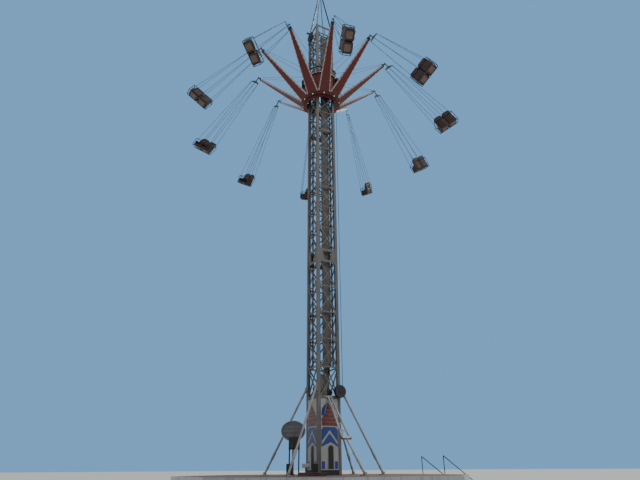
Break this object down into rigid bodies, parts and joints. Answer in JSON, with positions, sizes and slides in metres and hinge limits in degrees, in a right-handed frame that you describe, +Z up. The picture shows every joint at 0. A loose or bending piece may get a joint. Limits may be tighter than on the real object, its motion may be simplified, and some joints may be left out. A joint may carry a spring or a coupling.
{
  "type": "travelling tower chair swing ride",
  "caption": "Fairground tower swing ride: lattice tower on a raised deck, climbing carriage, turning crown of arms, and double chain-hung seats that swing out.",
  "frame": {"origin": "on the tower's axis at ground level, the middle of the box's floor", "axes": "+Z up along the tower, X and Y square to the tower's faces, -Y towards the front panel and the raising frame, +X towards the entrance steps"},
  "size_m": [15.6962, 15.0622, 31.6],
  "materials": {
    "grey_paint": "weathered light grey gloss paint",
    "red_paint": "satin red paint, darkened by weather",
    "white_panel": "glossy white sheet with painted shapes",
    "dark_paint": "satin dark grey paint",
    "galvanised_steel": "dull zinc coating",
    "deck_paint": "worn red deck paint with a white edge",
    "seat_shell": "moulded shell, worn semi-gloss",
    "cable_sheath": "matt rubber"
  },
  "bodies": {
    "root": {"base_frame": "galvanised_steel", "deck": "deck_paint", "entrance_steps": "galvanised_steel", "tower_lower": "grey_paint", "splice_collar": "grey_paint", "tower_middle": "grey_paint", "tower_upper": "grey_paint", "head_frame": "grey_paint", "spire": "dark_paint", "head_sheave": "dark_paint", "cable_tray": "grey_paint", "drive_unit": "dark_paint", "base_panel_front": "white_panel", "base_panel_right": "white_panel", "base_panel_back": "white_panel", "base_panel_left": "white_panel", "strut_front_left": "grey_paint", "strut_front_right": "grey_paint", "strut_back_left": "grey_paint", "strut_back_right": "grey_paint", "raising_frame": "grey_paint", "cable_reel": "dark_paint", "reel_cable": "cable_sheath", "oval_board": "white_panel", "cabinet": "dark_paint"},
    "carriage": {"carriage_drum": "red_paint", "slew_motor_front": "dark_paint", "slew_motor_left": "dark_paint"},
    "crown": {"slew_ring": "red_paint", "crown_ring": "red_paint", "arm_01": "red_paint", "arm_02": "red_paint", "arm_03": "red_paint", "arm_04": "red_paint", "arm_05": "red_paint", "arm_06": "red_paint", "arm_07": "red_paint", "arm_08": "red_paint", "arm_09": "red_paint", "arm_10": "red_paint"},
    "swing_01": {"hanger_01": "galvanised_steel", "double_seat_01": "seat_shell"},
    "swing_02": {"hanger_02": "galvanised_steel", "double_seat_02": "seat_shell"},
    "swing_03": {"hanger_03": "galvanised_steel", "double_seat_03": "seat_shell"},
    "swing_04": {"hanger_04": "galvanised_steel", "double_seat_04": "seat_shell"},
    "swing_05": {"hanger_05": "galvanised_steel", "double_seat_05": "seat_shell"},
    "swing_06": {"hanger_06": "galvanised_steel", "double_seat_06": "seat_shell"},
    "swing_07": {"hanger_07": "galvanised_steel", "double_seat_07": "seat_shell"},
    "swing_08": {"hanger_08": "galvanised_steel", "double_seat_08": "seat_shell"},
    "swing_09": {"hanger_09": "galvanised_steel", "double_seat_09": "seat_shell"},
    "swing_10": {"hanger_10": "galvanised_steel", "double_seat_10": "seat_shell"}
  },
  "joints": [
    {"name": "carriage_lift", "type": "slide", "parent": "root", "child": "carriage", "axis": [0, 0, 1], "range_m": [-16, 2], "deforming": ["reel_cable"]},
    {"name": "crown_spin", "type": "hinge", "parent": "carriage", "child": "crown", "pos_m": [0, 0, 22], "axis": [0, 0, 1], "continuous": true},
    {"name": "swing_hinge_01", "type": "hinge", "parent": "crown", "child": "swing_01", "pos_m": [4, 0, 24.3], "axis": [0, -1, 0], "range_deg": [-32.8, 17.2]},
    {"name": "swing_hinge_02", "type": "hinge", "parent": "crown", "child": "swing_02", "pos_m": [3.23607, 2.35114, 24.3], "axis": [0.5878, -0.809, 0], "range_deg": [-32.8, 17.2]},
    {"name": "swing_hinge_03", "type": "hinge", "parent": "crown", "child": "swing_03", "pos_m": [1.23607, 3.80423, 24.3], "axis": [0.9511, -0.309, 0], "range_deg": [-32.8, 17.2]},
    {"name": "swing_hinge_04", "type": "hinge", "parent": "crown", "child": "swing_04", "pos_m": [-1.23607, 3.80423, 24.3], "axis": [0.9511, 0.309, 0], "range_deg": [-32.8, 17.2]},
    {"name": "swing_hinge_05", "type": "hinge", "parent": "crown", "child": "swing_05", "pos_m": [-3.23607, 2.35114, 24.3], "axis": [0.5878, 0.809, 0], "range_deg": [-32.8, 17.2]},
    {"name": "swing_hinge_06", "type": "hinge", "parent": "crown", "child": "swing_06", "pos_m": [-4, 0, 24.3], "axis": [0, 1, 0], "range_deg": [-32.8, 17.2]},
    {"name": "swing_hinge_07", "type": "hinge", "parent": "crown", "child": "swing_07", "pos_m": [-3.23607, -2.35114, 24.3], "axis": [-0.5878, 0.809, 0], "range_deg": [-32.8, 17.2]},
    {"name": "swing_hinge_08", "type": "hinge", "parent": "crown", "child": "swing_08", "pos_m": [-1.23607, -3.80423, 24.3], "axis": [-0.9511, 0.309, 0], "range_deg": [-32.8, 17.2]},
    {"name": "swing_hinge_09", "type": "hinge", "parent": "crown", "child": "swing_09", "pos_m": [1.23607, -3.80423, 24.3], "axis": [-0.9511, -0.309, 0], "range_deg": [-32.8, 17.2]},
    {"name": "swing_hinge_10", "type": "hinge", "parent": "crown", "child": "swing_10", "pos_m": [3.23607, -2.35114, 24.3], "axis": [-0.5878, -0.809, 0], "range_deg": [-32.8, 17.2]}
  ]
}
